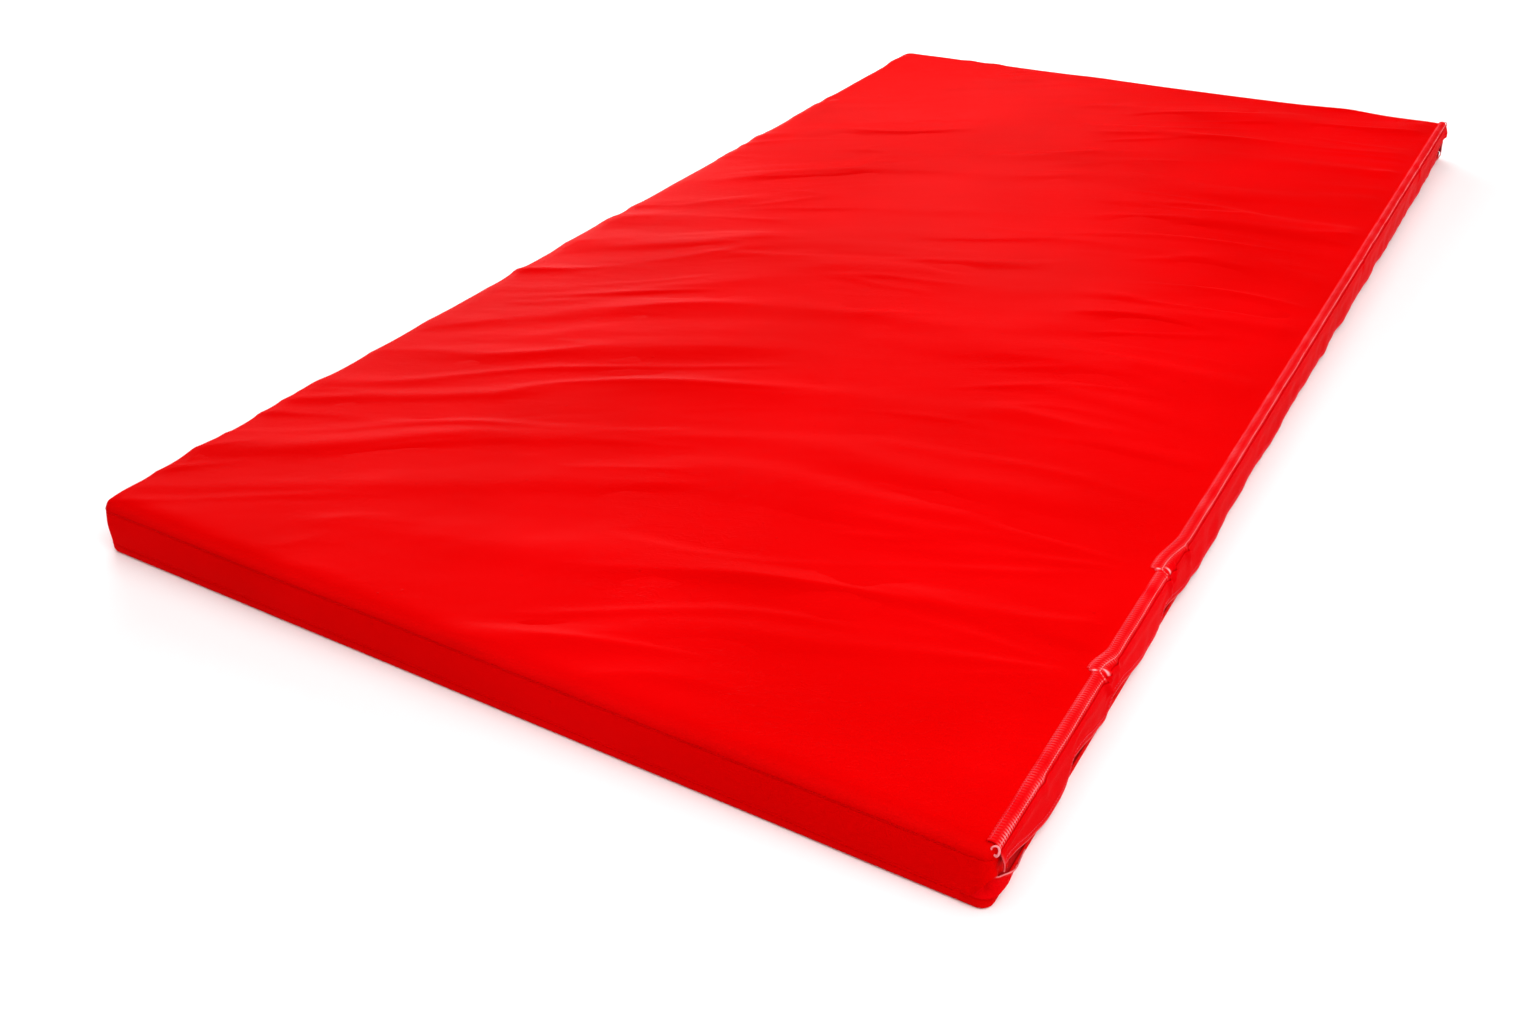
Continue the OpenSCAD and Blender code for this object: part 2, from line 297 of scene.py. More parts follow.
def recalculate(piece):
    """Turns every face of a closed piece outwards."""
    work = bmesh.new()
    work.from_mesh(piece.data)
    bmesh.ops.recalc_face_normals(work, faces=work.faces)
    work.to_mesh(piece.data)
    work.free()
    return piece


# ------------------------------------------------------------------ materials
class Nodes:
    """Short names for building one material's nodes."""

    def __init__(self, name):
        self.material = bpy.data.materials.new(name)
        self.material.use_nodes = True
        self.tree = self.material.node_tree
        self.shader = self.tree.nodes["Principled BSDF"]

    def add(self, kind, inputs=None, **settings):
        node = self.tree.nodes.new(kind)
        for key, value in settings.items():
            setattr(node, key, value)
        for key, value in (inputs or {}).items():
            if isinstance(value, bpy.types.NodeSocket):
                self.tree.links.new(value, node.inputs[key])
            else:
                node.inputs[key].default_value = value
        return node

    def place(self, scale=(1, 1, 1), turn=0.0):
        """The piece's own coordinates in metres, turned and scaled."""
        source = self.add("ShaderNodeTexCoord").outputs["Object"]
        turned = self.add("ShaderNodeMapping", {"Vector": source, "Rotation": (0, 0, turn)})
        return self.add(
            "ShaderNodeMapping", {"Vector": turned.outputs[0], "Scale": scale}
        ).outputs[0]

    def noise(self, scale, vector=None, detail=3.0, rough=0.5, distortion=0.0):
        inputs = {"Scale": scale, "Detail": detail, "Roughness": rough, "Distortion": distortion}
        inputs["Vector"] = vector or self.place()
        return self.add("ShaderNodeTexNoise", inputs).outputs["Fac"]

    def ramp(self, value, low, high, start=0.0, end=1.0):
        node = self.add(
            "ShaderNodeMapRange",
            {"Value": value, "From Min": low, "From Max": high, "To Min": start, "To Max": end},
        )
        return node.outputs["Result"]

    def math(self, operation, first, second=0.0):
        return self.add("ShaderNodeMath", {0: first, 1: second}, operation=operation).outputs[0]

    def ridge(self, value, width):
        """1 along the middle level of a noise, falling to 0 within width of it."""
        offset = self.math("ABSOLUTE", self.math("SUBTRACT", value, 0.5))
        return self.ramp(offset, 0.0, width, 1.0, 0.0)

    def mix(self, factor, first, second):
        node = self.add("ShaderNodeMix", {"Factor": factor}, data_type="RGBA")
        for socket, colour in ((6, first), (7, second)):
            if isinstance(colour, bpy.types.NodeSocket):
                self.tree.links.new(colour, node.inputs[socket])
            else:
                node.inputs[socket].default_value = (*colour, 1.0)
        return node.outputs[2]

    def wave(self, scale, direction, turn=0.0, distortion=0.0):
        inputs = {"Vector": self.place(turn=turn), "Scale": scale, "Distortion": distortion}
        return self.add("ShaderNodeTexWave", inputs, bands_direction=direction).outputs["Fac"]

    def cells(self, scale):
        """Distance from the nearest of the points scattered through the piece."""
        inputs = {"Vector": self.place(), "Scale": scale}
        return self.add("ShaderNodeTexVoronoi", inputs).outputs["Distance"]

    def wear_and_highlight(self):
        return self.add("ShaderNodeAttribute", attribute_name="wear_and_highlight").outputs["Fac"]

    def bump(self, *layers):
        """Layers of relief over each other, each one a height and a depth."""
        normal = None
        for height, depth in layers:
            inputs = {"Height": height, "Distance": depth, "Strength": 1.0}
            if normal is not None:
                inputs["Normal"] = normal
            normal = self.add("ShaderNodeBump", inputs).outputs[0]
        return normal

    def finish(self, **sockets):
        for key, value in sockets.items():
            socket = self.shader.inputs[key.replace("_", " ")]
            if isinstance(value, bpy.types.NodeSocket):
                self.tree.links.new(value, socket)
            else:
                socket.default_value = value
        return self.material


# The way that the crinkles in the coating run, about Z
CRINKLE_TURN = -0.42


def vinyl_material(name, deep, bright, rub_and_highlight_colour, rub_and_highlight_strength, gloss, grain=1.0, crinkle=1.0):
    """Coated cloth: fine leather-like grain, worm-like crinkles, specks and edges rubbed pale. The same pale
    rub colour, set by a per-point attribute, also paints highlights on the seam cloth.
    """
    n = Nodes(name)
    wear_and_highlight = n.wear_and_highlight()
    cloudy = n.noise(4.0, detail=2.0)
    patchy = n.noise(2.6, detail=1.0)
    fine = n.noise(900.0, detail=2.0)
    worm = n.ridge(n.noise(38.0, n.place((1.0, 2.2, 1.5), CRINKLE_TURN), 2.0, 0.55, 1.2), 0.035)
    soft = n.noise(24.0, n.place((0.7, 1.7, 1.0), CRINKLE_TURN), 2.0)
    worm = n.math("MULTIPLY", worm, n.ramp(patchy, 0.46, 0.62))
    dot = n.ramp(n.cells(26.0), 0.02, 0.05, 1.0, 0.0)
    colour = n.mix(n.ramp(cloudy, 0.3, 0.7), deep, bright)
    # Per-point attribute: rubbed pale edges on the panels, and painted highlights on the seam cloth.
    colour = n.mix(n.math("MULTIPLY", wear_and_highlight, rub_and_highlight_strength), colour, rub_and_highlight_colour)
    colour = n.mix(n.math("MULTIPLY", dot, 0.25), colour, (0.45, 0.0, 0.0))
    rough = n.math("ADD", n.ramp(patchy, 0.3, 0.7, 0.33, 0.40), n.math("MULTIPLY", wear_and_highlight, 0.10))
    folds = (soft, 0.55 * MM * crinkle), (worm, 0.12 * MM * crinkle)
    return n.finish(
        Base_Color=colour,
        Roughness=rough,
        Normal=n.bump(*folds, (dot, 0.15 * MM), (fine, 0.06 * MM * grain)),
        Specular_IOR_Level=gloss,
    )


def backing_material(name):
    """Inner side of the coated cloth, seen on the hem and the strips: duller, with its weave."""
    n = Nodes(name)
    weave = n.math("MAXIMUM", n.wave(260.0, "Y"), n.wave(260.0, "Z"))
    cloudy = n.noise(9.0)
    wear_and_highlight = n.wear_and_highlight()
    colour = n.mix(n.ramp(cloudy, 0.3, 0.7), (0.40, 0.0, 0.001), (0.55, 0.001, 0.004))
    colour = n.mix(n.math("MULTIPLY", wear_and_highlight, 0.3), colour, (0.9, 0.08, 0.07))
    crumple = n.noise(30.0, distortion=0.8)
    return n.finish(
        Base_Color=colour,
        Roughness=n.ramp(cloudy, 0.3, 0.7, 0.42, 0.55),
        Normal=n.bump((crumple, 0.5 * MM), (weave, 0.05 * MM)),
        Specular_IOR_Level=0.002,
    )


def foam_material(name, dark, light, cell):
    """Open-cell foam: rounded cells, crumbs and slow changes of tone."""
    n = Nodes(name)
    cells = n.cells(cell)
    slow = n.noise(14.0, detail=4.0)
    tone = n.math("MULTIPLY", n.ramp(cells, 0.1, 0.6), n.ramp(slow, 0.25, 0.75, 0.6, 1.0))
    return n.finish(
        Base_Color=n.mix(tone, dark, light),
        Roughness=n.ramp(slow, 0.3, 0.7, 0.85, 0.97),
        Normal=n.bump((slow, 1.5 * MM), (cells, 0.4 * MM)),
        Specular_IOR_Level=0.15,
    )


def thread_material(name, dark, light, sheen, gloss):
    """Twisted thread: slanting plies with a soft sheen."""
    n = Nodes(name)
    plies = n.wave(900.0, "DIAGONAL", turn=0.6, distortion=1.0)
    tone = n.math("MULTIPLY", plies, n.ramp(n.noise(120.0), 0.3, 0.7, 0.6, 1.0))
    return n.finish(
        Base_Color=n.mix(tone, dark, light),
        Roughness=n.ramp(plies, 0.0, 1.0, 0.38, 0.6),
        Normal=n.bump((plies, 0.1 * MM)),
        Sheen_Weight=sheen,
        Specular_IOR_Level=gloss,
    )


def tape_material(name):
    """Woven zip tape: a herringbone of fine ribs."""
    n = Nodes(name)
    weave = n.math("MULTIPLY", n.wave(480.0, "Z"), n.wave(330.0, "DIAGONAL", distortion=0.4))
    slow = n.noise(40.0, detail=4.0)
    rib = n.mix(slow, (0.03, 0.03, 0.033), (0.05, 0.05, 0.05))
    return n.finish(
        Base_Color=n.mix(weave, (0.006, 0.006, 0.007), rib),
        Roughness=n.ramp(slow, 0.3, 0.7, 0.7, 0.9),
        Normal=n.bump((weave, 0.12 * MM)),
        Sheen_Weight=0.25,
    )


def coil_material(name):
    """Moulded nylon monofilament."""
    n = Nodes(name)
    slow = n.noise(180.0, detail=3.0)
    return n.finish(
        Base_Color=n.mix(slow, (0.008, 0.008, 0.009), (0.028, 0.028, 0.03)),
        Roughness=n.ramp(slow, 0.3, 0.7, 0.28, 0.42),
        Normal=n.bump((n.noise(1500.0), 0.03 * MM)),
    )


def metal_material(name, tone):
    """Plated zinc: tumbled surface with fine scratches and dulled high spots."""
    n = Nodes(name)
    scratch = n.ridge(n.noise(300.0, n.place((0.15, 4.0, 1.0), 0.5), 4.0), 0.05)
    tumbled = n.noise(700.0, detail=4.0)
    dull = n.noise(130.0, detail=3.0)
    low = tuple(0.72 * c for c in tone)
    return n.finish(
        Base_Color=n.mix(n.ramp(dull, 0.35, 0.7), tone, low),
        Metallic=1.0,
        Roughness=n.ramp(dull, 0.3, 0.7, 0.22, 0.42),
        Normal=n.bump((tumbled, 0.05 * MM), (scratch, 0.02 * MM)),
    )


VINYL = vinyl_material(
    "vinyl_red", (0.64, 0.0, 0.0), (0.72, 0.0002, 0.0008), rub_and_highlight_colour=(0.80, 0.004, 0.004), rub_and_highlight_strength=0.2, gloss=0.0012
)
# The seam cloth's pale pink rub colour is mostly painted highlight: ticks and glints on the band, the flap's
# lower edge and ends, the corner folds' upper edges and the end loops.
VINYL_BAND = vinyl_material(
    "vinyl_red_seam", (0.66, 0.0002, 0.001), (0.75, 0.0006, 0.003), rub_and_highlight_colour=(0.98, 0.42, 0.45), rub_and_highlight_strength=0.85,
    gloss=0.0008, grain=1.4, crinkle=1.2,
)
BACKING = backing_material("vinyl_backing")
SOFT_FOAM = foam_material("foam_soft", (0.52, 0.47, 0.36), (0.86, 0.82, 0.70), 620.0)
FIRM_FOAM = foam_material("foam_firm", (0.10, 0.12, 0.16), (0.30, 0.34, 0.40), 900.0)
THREAD = thread_material("thread_red", (0.66, 0.004, 0.02), (0.85, 0.05, 0.09), 0.1, 0.1)
THREAD_DEEP = thread_material("thread_deep_red", (0.42, 0.0, 0.0), (0.60, 0.0, 0.001), 0.0, 0.01)
THREAD_PALE = thread_material("thread_pale", (0.75, 0.10, 0.12), (0.95, 0.38, 0.40), 0.2, 0.2)
TAPE = tape_material("zip_tape")
COIL = coil_material("zip_coil")
METAL = metal_material("zip_metal", (0.66, 0.65, 0.62))
PIN_METAL = metal_material("zip_pin_metal", (0.42, 0.41, 0.40))


def dress(piece, material, body="mat", nodes=()):
    """Gives a piece its material and its body, and hides the CAD nodes it stands for."""
    piece.data.materials.clear()
    piece.data.materials.append(material)
    if body:
        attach(piece, body)
    if nodes:
        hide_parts(*nodes)
    return piece


# ------------------------------------------------------------------ large panels
def soft_edge(t):
    """Inset from the side and height of the rounded front, rear and left top edges, t 0 to 1."""
    inset = CORNER_R * (1 - np.sin(0.5 * math.pi * t))
    depth = TOP_Z - SEAM_Z
    return inset, SEAM_Z + depth * np.sqrt(1 - (1 - inset / SHOULDER) ** 5)


def shoulder_drop(inset):
    """How much the top has sunk at this distance inside the cover's side."""
    part = np.clip(1 - inset / SHOULDER, 0, 1)
    return (TOP_Z - SEAM_Z) * (1 - np.sqrt(1 - part**5))


def turned_edge(t, radius, flat_z, end_z):
    """A flat run, a quarter circle of the given radius and an upright run, t 0 to 1."""
    flat = CORNER_R - radius
    arc = 0.5 * math.pi * radius
    upright = abs(end_z - flat_z) - radius
    length = t * (flat + arc + upright)
    angle = np.clip((length - flat) / radius, 0, 0.5 * math.pi)
    inset = CORNER_R - np.minimum(length, flat) - radius * np.sin(angle)
    fall = radius * (1 - np.cos(angle)) + np.clip(length - flat - arc, 0, None)
    return np.clip(inset, 0, None), flat_z + math.copysign(1, end_z - flat_z) * fall


def zip_top_edge(t):
    return turned_edge(t, ZIP_EDGE_R, TOP_Z, SEAM_Z)


def bottom_edge(t):
    return turned_edge(t, BOTTOM_R, 0.0, LOW_SEAM_Z)


def axis_stops(low, high, step, edge_steps):
    """Places along one axis: where the middle of the panel is, and how far round each edge."""
    middle = spaced(low + CORNER_R, high - CORNER_R, step)
    over = np.linspace(0, 1, edge_steps + 1)[1:]
    place = np.concatenate([np.full(edge_steps, middle[0]), middle, np.full(edge_steps, middle[-1])])
    turn = np.concatenate([over[::-1], np.zeros(len(middle)), over])
    sign = np.concatenate([-np.ones(edge_steps), np.zeros(len(middle)), np.ones(edge_steps)])
    return place, turn, sign


def edged_panel(step, edge_steps, edges, middle_drop):
    """Grid of a panel that turns over its four edges, and the outward direction round its rim.

    edges are the profiles at low X, high X and both Y ends.
    """
    x, turn_x, sign_x = axis_stops(LEFT_X, SIDE_X, step, edge_steps)
    y, turn_y, sign_y = axis_stops(-HALF_L, HALF_L, step, edge_steps)
    x, y = np.meshgrid(x, y, indexing="ij")
    turn_x, turn_y = np.meshgrid(turn_x, turn_y, indexing="ij")
    sign_x, sign_y = np.meshgrid(sign_x, sign_y, indexing="ij")
    over = np.maximum(turn_x, turn_y)
    safe = np.maximum(over, 1e-9)
    angle = np.where(
        turn_x >= turn_y,
        0.25 * math.pi * turn_y / safe,
        0.5 * math.pi - 0.25 * math.pi * turn_x / safe,
    )
    low_x, high_x, ends = (edge(over) for edge in edges)
    inset_x = np.where(sign_x < 0, low_x[0], high_x[0])
    height_x = np.where(sign_x < 0, low_x[1], high_x[1])
    share = np.cos(angle) ** 2
    inset = share * inset_x + (1 - share) * ends[0]
    height = share * height_x + (1 - share) * ends[1]
    out = np.stack([np.cos(angle) * sign_x, np.sin(angle) * sign_y, 0 * x], -1)
    reach = (CORNER_R - inset)[..., None]
    points = np.stack([x, y, height], -1) + out * reach * (over > 0)[..., None]
    drop_x, drop_y = middle_drop(x, y)
    whole = drop_x + drop_y
    own = np.where(over > 0, share * drop_x + (1 - share) * drop_y, 0)
    points[..., 2] -= (1 - over) * (whole - own)
    return points, out, over


def top_middle_drop(x, y):
    return shoulder_drop(x - LEFT_X), shoulder_drop(HALF_L - np.abs(y))


def flat_middle(x, y):
    return 0 * x, 0 * y


def tuck_under(points, out, toward, depth):
    """Adds a rim that rolls inwards past the seam, so that two panels meet in a groove."""
    framed = np.pad(points, ((1, 1), (1, 1), (0, 0)), mode="edge")
    aim = np.pad(out, ((1, 1), (1, 1), (0, 0)), mode="edge")
    rim = np.ones(framed.shape[:2], bool)
    rim[1:-1, 1:-1] = False
    framed[rim] -= aim[rim] * depth
    framed[rim] += np.array([0, 0, toward]) * 0.5 * depth
    return framed


def turned_normals(points, out, over, face):
    """A panel's outward directions, which near its rim become those round the mat's sides."""
    turn = smooth((over - 0.72) / 0.2)[..., None]
    return face * grid_normals(points) * (1 - turn) + out * turn


def edge_wear(over, rate):
    """How rubbed a panel is where it turns over the mat's edges."""
    return np.pad(smooth(over * rate) * (1 - smooth((over - 0.6) / 0.3)), 1).astype(np.float32)


def make_top_panel(step):
    points, out, over = edged_panel(step, 9, (soft_edge, zip_top_edge, soft_edge), top_middle_drop)
    normals = unit(turned_normals(points, out, over, 1))
    x, y, z = points[..., 0], points[..., 1], points[..., 2]
    level = smooth((z - 54 * MM) / (7 * MM))
    zip_side = smooth((x - (SIDE_X - 40 * MM)) / (30 * MM))
    swell = level * top_rise(x, y) * (1 - zip_side) + (1 - level) * side_swell(x, y, z)
    points = points + normals * swell[..., None]
    framed = tuck_under(points, out, -1, TUCK)
    piece = shell("cover_top_sheet", framed, grid_normals(framed), CLOTH, 12, edge_wear(over, 1.6))
    dress(piece, VINYL, nodes=["cover_top_panel"])


def make_bottom_panel(step):
    points, out, over = edged_panel(step, 8, (bottom_edge, bottom_edge, bottom_edge), flat_middle)
    normals = turned_normals(points, out, over, -1)
    x, y, z = points[..., 0], points[..., 1], points[..., 2]
    points = points + normals * side_swell(x, y, z)[..., None]
    framed = tuck_under(points, out, 1, LOW_TUCK)
    piece = shell("cover_bottom_sheet", framed, -grid_normals(framed), CLOTH, 8, edge_wear(over, 1.4))
    recalculate(piece)
    dress(piece, VINYL, nodes=["cover_bottom_panel"])


# ------------------------------------------------------------------ walls
def rounded_path(corners, radius, step, corner_steps):
    """Points and outward directions along straight runs with rounded turns, turning right."""
    points, outs = [], []
    corners = [np.array(c, float) for c in corners]
    for k in range(len(corners) - 1):
        a, b = corners[k], corners[k + 1]
        run = (b - a) / np.linalg.norm(b - a)
        out = np.array([-run[1], run[0]])
        start = a + run * (radius if k > 0 else 0)
        stop = b - run * (radius if k < len(corners) - 2 else 0)
        for place in spaced(0, np.linalg.norm(stop - start), step):
            points.append(start + run * place)
            outs.append(out)
        if k < len(corners) - 2:
            centre = stop - out * radius
            first = math.atan2(out[1], out[0])
            for turn in np.linspace(0, -0.5 * math.pi, corner_steps + 1)[1:-1]:
                aim = np.array([math.cos(first + turn), math.sin(first + turn)])
                points.append(centre + aim * radius)
                outs.append(aim)
    return np.array(points), np.array(outs)


def wall_rings(path, outs, low_z, high_z, swell, rows, thickness=CLOTH):
    """Rings of a wall: down its outer side from high_z to low_z, and back up its inner side."""
    v = np.linspace(0, 1, rows)
    inner_v = np.linspace(1, 0, 4)
    rings = []
    tuck = np.clip(1 - v / 0.035, 0, 1) * TUCK + np.clip(1 - (1 - v) / 0.035, 0, 1) * LOW_TUCK
    for p, out, low, high in zip(path, outs, low_z, high_z):
        z = high + (low - high) * v
        stand = swell(p[0], p[1], z) - tuck
        outer = np.column_stack([p[0] + out[0] * stand, p[1] + out[1] * stand, z])
        z_in = high + (low - high) * inner_v
        back = np.interp(inner_v, v, stand) - thickness
        inner = np.column_stack([p[0] + out[0] * back, p[1] + out[1] * back, z_in])
        rings.append(np.concatenate([outer, inner]))
    return np.array(rings)


# The folded corner: its height at the mat's corner, and how far it runs along the end and the zip side
GUSSET_TALL = 38 * MM
GUSSET_ACROSS = 23 * MM
GUSSET_ALONG = 97 * MM


def gusset_top(x, y):
    """Height of the folded corner's upper edge at this place on the mat's outline."""
    over_x = (x - (SIDE_X - GUSSET_ACROSS)) / GUSSET_ACROSS * GUSSET_TALL
    over_y = GUSSET_TALL * np.clip(1 - (HALF_L - np.abs(y)) / GUSSET_ALONG, 0, 1) ** 1.6
    return np.maximum(np.minimum(over_x, over_y), LOW_SEAM_Z)


def finish_wall(side, rings):
    piece = recalculate(loft(f"cover_{side}_sheet", rings))
    dress(piece, VINYL, nodes=[f"cover_{side}_wall"])


def make_end_wall(side, end):
    """Wall of a short side; end is -1 at the front and 1 at the rear."""
    corners = [(SIDE_X, end * RETURN_Y), (SIDE_X, end * HALF_L), (LEFT_X, end * HALF_L),
               (LEFT_X, end * RETURN_Y)]
    if end > 0:
        corners = corners[::-1]
    path, outs = rounded_path(corners, CORNER_R, 2.5 * MM, 10)
    low = gusset_top(path[:, 0], path[:, 1])
    high = np.full(len(path), SEAM_Z)

    def swell(x, y, z):
        lip = bell(z - gusset_top(x, y), 5 * MM) * smooth((x - SIDE_X + 26 * MM) / (8 * MM))
        facing = smooth((HALF_L - 6 * MM - abs(y)) / (6 * MM))
        return side_swell(x, y, z) + 2.4 * MM * lip * (1 - facing)

    finish_wall(side, wall_rings(path, outs, low, high, swell, 18))


def make_left_wall():
    path, outs = rounded_path([(LEFT_X, -RETURN_Y), (LEFT_X, RETURN_Y)], 0, 5 * MM, 1)
    low = np.full(len(path), LOW_SEAM_Z)
    high = np.full(len(path), SEAM_Z)
    finish_wall("left", wall_rings(path, outs, low, high, side_swell, 18))


def make_gusset(side, end):
    """Folded corner between an end wall, the bottom panel and the zip side."""
    reach_y = HALF_L - (GUSSET_HIGH.y - GUSSET_LOW.y)
    corners = [(SIDE_X, end * reach_y), (SIDE_X, end * HALF_L), (GUSSET_LOW.x, end * HALF_L)]
    if end > 0:
        corners = corners[::-1]
    path, outs = rounded_path(corners, CORNER_R, 1.5 * MM, 10)
    top = gusset_top(path[:, 0], path[:, 1])
    high = np.maximum(top - 0.3 * MM, LOW_SEAM_Z + 0.6 * MM)

    def swell(x, y, z):
        onto_side = smooth((HALF_L - abs(y)) / CORNER_R)
        room = smooth((gusset_top(x, y) - z) / (9 * MM)) * smooth((z - LOW_SEAM_Z) / (6 * MM))
        pinch = bell(x - (SIDE_X - 5 * MM), 2.2 * MM) * (1 - onto_side)
        puff = bell(HALF_L - abs(y) - 26 * MM, 22 * MM) * bell(z - 12 * MM, 12 * MM)
        lip = bell(z - gusset_top(x, y), 3.0 * MM) * onto_side
        inward = 4.6 * MM * room * (1 - onto_side) + 1.6 * MM * pinch * room
        return 4.2 * MM * puff + 2.4 * MM * lip - inward

    low = np.full(len(path), LOW_SEAM_Z)
    rings = wall_rings(path, outs, low, high, swell, 22)
    # Painted highlight: the corner fold's upper edge is coloured pale pink, standing in for the light caught
    # along it.
    edge = bell(rings[..., 2] - high[:, None], 0.9 * MM)
    edge = edge * smooth((HALF_L - np.abs(rings[..., 1])) / (4 * MM))
    piece = recalculate(loft(f"corner_fold_{side}", rings, (0.6 * edge).astype(np.float32)))
    dress(piece, VINYL_BAND, nodes=[f"corner_gusset_{side}"])


# ------------------------------------------------------------------ cloth along the zip side
def ribbon(name, outer, thickness, wear_and_highlight=None):
    """A closed strip of cloth from the grid of its outer side, with rows along the strip."""
    inner = outer + grid_normals(outer) * thickness
    rings = np.concatenate([outer, inner[:, ::-1]], axis=1)
    if wear_and_highlight is not None:
        wear_and_highlight = np.concatenate([wear_and_highlight, wear_and_highlight[:, ::-1]], axis=1).astype(np.float32)
    return recalculate(loft(name, rings, wear_and_highlight))


ROW_PITCH = 3.3 * MM
INNER_ROW = 2.2 * MM
OUTER_ROW = 10.4 * MM
BAND_FLAT = SIDE_X - ZIP_EDGE_R - BAND_LOW.x
BAND_ARC = 0.5 * math.pi * ZIP_EDGE_R
BAND_END = BAND_FLAT + BAND_ARC + (TOP_Z - ZIP_EDGE_R - BAND_LOW.z)

# Pleats: place along the mat, slant, height, width
PLEATS = (
    (-0.758, 0.55, 3.6 * MM, 3.2 * MM),
    (-0.744, -0.20, 2.8 * MM, 2.6 * MM),
    (-0.728, 0.35, 1.6 * MM, 4.0 * MM),
    (-0.578, 0.45, 3.2 * MM, 3.4 * MM),
    (-0.556, -0.30, 2.2 * MM, 3.0 * MM),
    (-0.520, 0.60, 3.4 * MM, 4.2 * MM),
    (-0.905, 0.50, 1.2 * MM, 5.0 * MM),
    (0.310, 0.30, 1.4 * MM, 4.0 * MM),
    (0.742, -0.40, 1.8 * MM, 3.4 * MM),
)


# Painted glints at each gather, pale spots in the seam cloth's colour: how far past it, distance down the
# cloth, half widths across and along
PAINTED_GLINTS = ((5 * MM, 1 * MM, 1.5 * MM, 1 * MM), (12 * MM, 10 * MM, 3.5 * MM, 1 * MM))


def jog(y):
    """How far the seam band is pulled in over the top where the cover is gathered."""
    total = 0.0 * y
    for start, run, depth in GATHERS:
        total = total + depth * smooth((y - start) / (7 * MM)) * (1 - smooth((y - start - 0.3 * run) / run))
    return total


def pleats(y, u):
    """Height of the gathered pleats, u down the cloth from the band's inner edge."""
    total = 0.0 * y * u
    for place, slant, height, width in PLEATS:
        off = y - place - slant * (u - OUTER_ROW)
        along = smooth((u - 5 * MM) / (7 * MM)) * (1 - smooth((u - 20 * MM) / (26 * MM)))
        total = total + height * along * bell(off, width)
        total = total - 0.35 * height * along * bell(off - 1.9 * width, width)
    return total


def row_place(y, row):
    """Distance of a stitch row down the cloth: nearly straight, pulled in at the gathers."""
    wander = 0.5 * MM * lattice_noise(y / 0.045, 0 * y + row / MM, 31)
    return row + wander - jog(y) * (1.0 if row < 5 * MM else 0.85)


def pucker(y, u):
    """Small ridges across the stitching, one for each stitch, and the dent under the thread."""
    strength = 0.75 + 0.5 * lattice_noise(y / 0.02, 0 * y, 32)
    wave = np.cos(2 * math.pi * y / ROW_PITCH)
    total = 0.0 * y * u
    for row, size in ((INNER_ROW, 0.55), (OUTER_ROW, 1.0)):
        off = u - row_place(y, row)
        total = total + size * strength * 0.34 * MM * wave * bell(off, 2.3 * MM)
        total = total - size * 0.45 * MM * bell(off, 0.8 * MM)
    return total


def edge_line(u, lift):
    """Place across the mat and height on the rounded zip edge, and the outward direction there."""
    arc_u = np.clip(u - BAND_FLAT, 0, BAND_ARC)
    angle = arc_u / ZIP_EDGE_R
    radius = ZIP_EDGE_R + lift
    x = SIDE_X - ZIP_EDGE_R + np.minimum(u - BAND_FLAT, 0) + radius * np.sin(angle)
    z = TOP_Z - ZIP_EDGE_R + radius * np.cos(angle) - np.clip(u - BAND_FLAT - BAND_ARC, 0, None)
    return x, z, np.stack([np.sin(angle), 0 * angle, np.cos(angle)], -1)


def band_lift(y, u):
    """How high the band's outer side stands above the cover."""
    pillow = bell(u - 0.5 * (INNER_ROW + OUTER_ROW) + jog(y), 3 * MM)
    soft = 0.5 + 0.5 * lattice_noise(y / 0.03, u / (8 * MM), 33)
    edge = smooth((u + jog(y)) / (2.2 * MM))
    return (0.15 + (0.95 + 0.55 * pillow * soft) * edge) * MM + pucker(y, u) * edge + 0.7 * pleats(y, u)


def painted_band_highlights(y, u):
    """Painted highlights in the seam cloth's pale colour: ticks across each row, one for each stitch,
    standing in for light caught on the puckers, and glints on the sharp pleats.
    """
    total = 0.0 * y * u
    near = smooth((y + 0.96) / 0.09)
    uneven = np.clip(0.75 + 0.9 * lattice_noise(y / 0.030, 0 * y, 34), 0, 1.4)
    for row, width, strength in ((INNER_ROW, 3.0 * MM, 0.10 + 0.22 * near),
                                 (OUTER_ROW, 2.0 * MM, 0.75 - 0.45 * near)):
        off = u - row_place(y, row)
        wave = 0.5 + 0.5 * np.cos(2 * math.pi * (y - 0.2 * off) / ROW_PITCH)
        total = total + strength * uneven * wave**3 * bell(off, width)
    for gather, _, _ in GATHERS:
        for past, depth, across, along in PAINTED_GLINTS:
            off = y - gather - past - 0.3 * (u - depth)
            total = total + 1.6 * bell(off, along) * bell(u - depth, across)
    return np.clip(total, 0, 1)


def make_seam_band():
    y, v = np.meshgrid(spaced(-BAND_Y, BAND_Y, ROW_PITCH / 5), np.linspace(0, 1, 19), indexing="ij")
    u = -jog(y) + v * (BAND_END + jog(y))
    x, z, _ = edge_line(u, band_lift(y, u))
    # The band's pale ticks and glints, passed in here, are painted highlights.
    piece = ribbon("flap_seam_band_sewn", np.stack([x, y, z], -1), 0.95 * MM, painted_band_highlights(y, u))
    dress(piece, VINYL_BAND, nodes=["flap_seam_band"])


